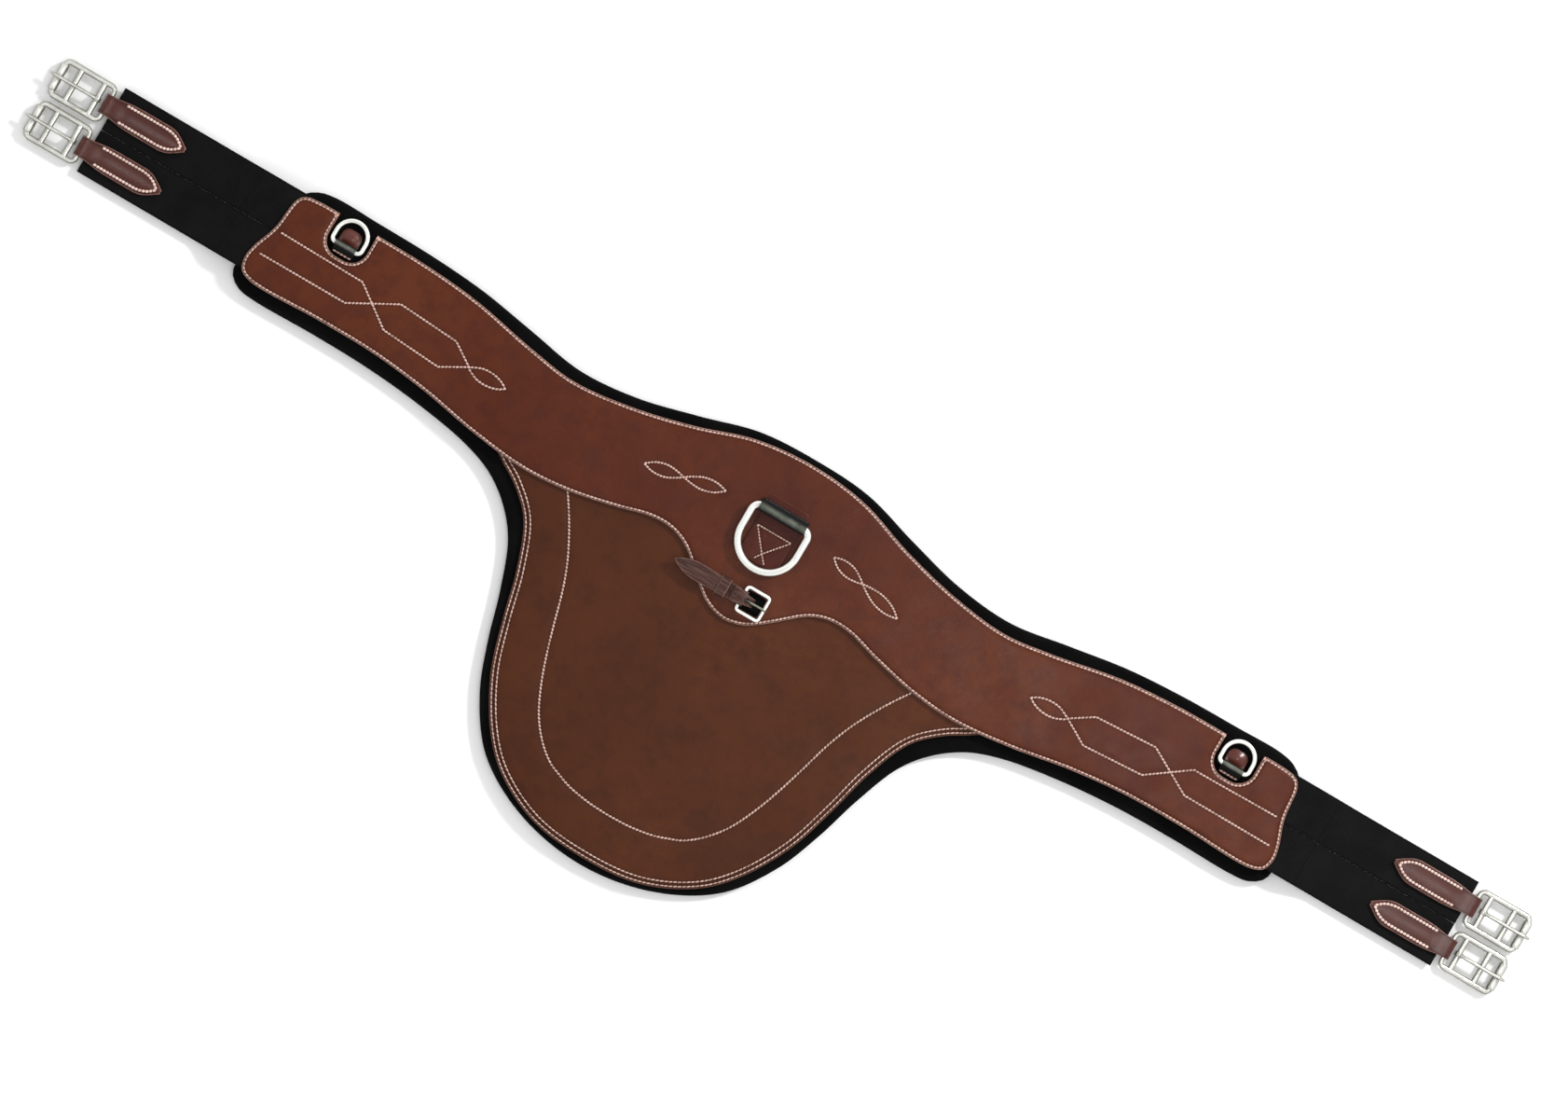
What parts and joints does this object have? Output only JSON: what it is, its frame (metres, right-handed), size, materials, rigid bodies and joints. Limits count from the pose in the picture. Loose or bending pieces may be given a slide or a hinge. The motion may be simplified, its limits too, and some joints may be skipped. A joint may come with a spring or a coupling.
{
  "type": "saddle girth",
  "caption": "Contoured padded leather saddle girth with a broad belly guard, elastic end straps with roller buckles, side rings and a centre ring.",
  "frame": {"origin": "middle of the girth strip, on the underside of the lining", "axes": "+X along the girth to its right end, +Y to its front edge, with the belly guard towards -Y, +Z out of the leather side"},
  "size_m": [1.376, 0.376, 0.0268],
  "materials": {
    "girth_leather": "waxed, soft sheen, fine grain",
    "guard_leather": "waxed, soft sheen, fine grain",
    "chape_leather": "waxed",
    "lining_fabric": "matt padded lining",
    "foam": "closed-cell foam, hidden",
    "webbing": "woven, hidden",
    "elastic": "ribbed woven elastic",
    "wrap": "woven tape",
    "steel": "polished stainless"
  },
  "bodies": {
    "girth_body": {"lining": "lining_fabric", "foam_pad": "foam", "load_web": "webbing", "girth_leather": "girth_leather", "belly_guard_leather": "guard_leather", "centre_ring_patch": "chape_leather", "centre_ring_loop": "wrap", "left_ring_tab": "chape_leather", "left_ring_loop": "wrap", "right_ring_tab": "chape_leather", "right_ring_loop": "wrap", "lobe_chape": "chape_leather", "lobe_billet": "chape_leather", "lobe_keeper": "chape_leather", "left_front_elastic_tail": "elastic", "left_rear_elastic_tail": "elastic", "right_front_elastic_tail": "elastic", "right_rear_elastic_tail": "elastic"},
    "left_front_strap": {"left_front_elastic": "elastic"},
    "left_front_strap_end": {"left_front_chape": "chape_leather"},
    "left_front_buckle": {"left_front_buckle_frame": "steel"},
    "left_front_pin": {"left_front_buckle_tongue": "steel"},
    "left_front_roller_tube": {"left_front_roller": "steel"},
    "left_rear_strap": {"left_rear_elastic": "elastic"},
    "left_rear_strap_end": {"left_rear_chape": "chape_leather"},
    "left_rear_buckle": {"left_rear_buckle_frame": "steel"},
    "left_rear_pin": {"left_rear_buckle_tongue": "steel"},
    "left_rear_roller_tube": {"left_rear_roller": "steel"},
    "right_front_strap": {"right_front_elastic": "elastic"},
    "right_front_strap_end": {"right_front_chape": "chape_leather"},
    "right_front_buckle": {"right_front_buckle_frame": "steel"},
    "right_front_pin": {"right_front_buckle_tongue": "steel"},
    "right_front_roller_tube": {"right_front_roller": "steel"},
    "right_rear_strap": {"right_rear_elastic": "elastic"},
    "right_rear_strap_end": {"right_rear_chape": "chape_leather"},
    "right_rear_buckle": {"right_rear_buckle_frame": "steel"},
    "right_rear_pin": {"right_rear_buckle_tongue": "steel"},
    "right_rear_roller_tube": {"right_rear_roller": "steel"},
    "centre_ring_body": {"centre_ring": "steel"},
    "left_ring_body": {"left_ring": "steel"},
    "right_ring_body": {"right_ring": "steel"},
    "lobe_buckle": {"lobe_buckle_frame": "steel"},
    "lobe_pin": {"lobe_buckle_tongue": "steel"}
  },
  "joints": [
    {"name": "left_front_strap_bend", "type": "hinge", "parent": "girth_body", "child": "left_front_strap", "pos_m": [-0.488, 0.017, 0.0108], "axis": [0, 1, 0], "range_deg": [-75, 110], "deforming": ["left_front_elastic"]},
    {"name": "left_front_elastic_stretch", "type": "slide", "parent": "left_front_strap", "child": "left_front_strap_end", "axis": [-1, 0, 0], "range_m": [0, 0.03], "stiffness_N_per_m": 2000, "deforming": ["left_front_elastic"]},
    {"name": "left_front_buckle_swing", "type": "hinge", "parent": "left_front_strap_end", "child": "left_front_buckle", "pos_m": [-0.6365, 0.017, 0.0041], "axis": [0, 1, 0], "range_deg": [-80, 40]},
    {"name": "left_front_tongue_swing", "type": "hinge", "parent": "left_front_buckle", "child": "left_front_pin", "pos_m": [-0.646, 0.017, 0.0041], "axis": [0, 1, 0], "range_deg": [0, 105]},
    {"name": "left_front_roller_spin", "type": "hinge", "parent": "left_front_buckle", "child": "left_front_roller_tube", "pos_m": [-0.6815, 0.017, 0.0041], "axis": [0, 1, 0], "continuous": true},
    {"name": "left_rear_strap_bend", "type": "hinge", "parent": "girth_body", "child": "left_rear_strap", "pos_m": [-0.488, -0.022, 0.0108], "axis": [0, 1, 0], "range_deg": [-75, 110], "deforming": ["left_rear_elastic"]},
    {"name": "left_rear_elastic_stretch", "type": "slide", "parent": "left_rear_strap", "child": "left_rear_strap_end", "axis": [-1, 0, 0], "range_m": [0, 0.03], "stiffness_N_per_m": 2000, "deforming": ["left_rear_elastic"]},
    {"name": "left_rear_buckle_swing", "type": "hinge", "parent": "left_rear_strap_end", "child": "left_rear_buckle", "pos_m": [-0.6365, -0.022, 0.0041], "axis": [0, 1, 0], "range_deg": [-80, 40]},
    {"name": "left_rear_tongue_swing", "type": "hinge", "parent": "left_rear_buckle", "child": "left_rear_pin", "pos_m": [-0.646, -0.022, 0.0041], "axis": [0, 1, 0], "range_deg": [0, 105]},
    {"name": "left_rear_roller_spin", "type": "hinge", "parent": "left_rear_buckle", "child": "left_rear_roller_tube", "pos_m": [-0.6815, -0.022, 0.0041], "axis": [0, 1, 0], "continuous": true},
    {"name": "right_front_strap_bend", "type": "hinge", "parent": "girth_body", "child": "right_front_strap", "pos_m": [0.488, 0.017, 0.0108], "axis": [0, -1, 0], "range_deg": [-75, 110], "deforming": ["right_front_elastic"]},
    {"name": "right_front_elastic_stretch", "type": "slide", "parent": "right_front_strap", "child": "right_front_strap_end", "axis": [1, 0, 0], "range_m": [0, 0.03], "stiffness_N_per_m": 2000, "deforming": ["right_front_elastic"]},
    {"name": "right_front_buckle_swing", "type": "hinge", "parent": "right_front_strap_end", "child": "right_front_buckle", "pos_m": [0.6365, 0.017, 0.0041], "axis": [0, -1, 0], "range_deg": [-80, 40]},
    {"name": "right_front_tongue_swing", "type": "hinge", "parent": "right_front_buckle", "child": "right_front_pin", "pos_m": [0.646, 0.017, 0.0041], "axis": [0, -1, 0], "range_deg": [0, 105]},
    {"name": "right_front_roller_spin", "type": "hinge", "parent": "right_front_buckle", "child": "right_front_roller_tube", "pos_m": [0.6815, 0.017, 0.0041], "axis": [0, 1, 0], "continuous": true},
    {"name": "right_rear_strap_bend", "type": "hinge", "parent": "girth_body", "child": "right_rear_strap", "pos_m": [0.488, -0.022, 0.0108], "axis": [0, -1, 0], "range_deg": [-75, 110], "deforming": ["right_rear_elastic"]},
    {"name": "right_rear_elastic_stretch", "type": "slide", "parent": "right_rear_strap", "child": "right_rear_strap_end", "axis": [1, 0, 0], "range_m": [0, 0.03], "stiffness_N_per_m": 2000, "deforming": ["right_rear_elastic"]},
    {"name": "right_rear_buckle_swing", "type": "hinge", "parent": "right_rear_strap_end", "child": "right_rear_buckle", "pos_m": [0.6365, -0.022, 0.0041], "axis": [0, -1, 0], "range_deg": [-80, 40]},
    {"name": "right_rear_tongue_swing", "type": "hinge", "parent": "right_rear_buckle", "child": "right_rear_pin", "pos_m": [0.646, -0.022, 0.0041], "axis": [0, -1, 0], "range_deg": [0, 105]},
    {"name": "right_rear_roller_spin", "type": "hinge", "parent": "right_rear_buckle", "child": "right_rear_roller_tube", "pos_m": [0.6815, -0.022, 0.0041], "axis": [0, 1, 0], "continuous": true},
    {"name": "centre_ring_swing", "type": "hinge", "parent": "girth_body", "child": "centre_ring_body", "pos_m": [0, 0.006, 0.0219], "axis": [-1, 0, 0], "range_deg": [0, 180]},
    {"name": "left_ring_swing", "type": "hinge", "parent": "girth_body", "child": "left_ring_body", "pos_m": [-0.412, 0.015, 0.014], "axis": [1, 0, 0], "range_deg": [0, 154]},
    {"name": "right_ring_swing", "type": "hinge", "parent": "girth_body", "child": "right_ring_body", "pos_m": [0.412, 0.015, 0.014], "axis": [1, 0, 0], "range_deg": [0, 154]},
    {"name": "lobe_buckle_swing", "type": "hinge", "parent": "girth_body", "child": "lobe_buckle", "pos_m": [0.004, -0.066, 0.0199], "axis": [0, -1, 0], "range_deg": [0, 8]},
    {"name": "lobe_tongue_swing", "type": "hinge", "parent": "lobe_buckle", "child": "lobe_pin", "pos_m": [0.004, -0.066, 0.0199], "axis": [0, -1, 0], "range_deg": [0, 12]}
  ]
}
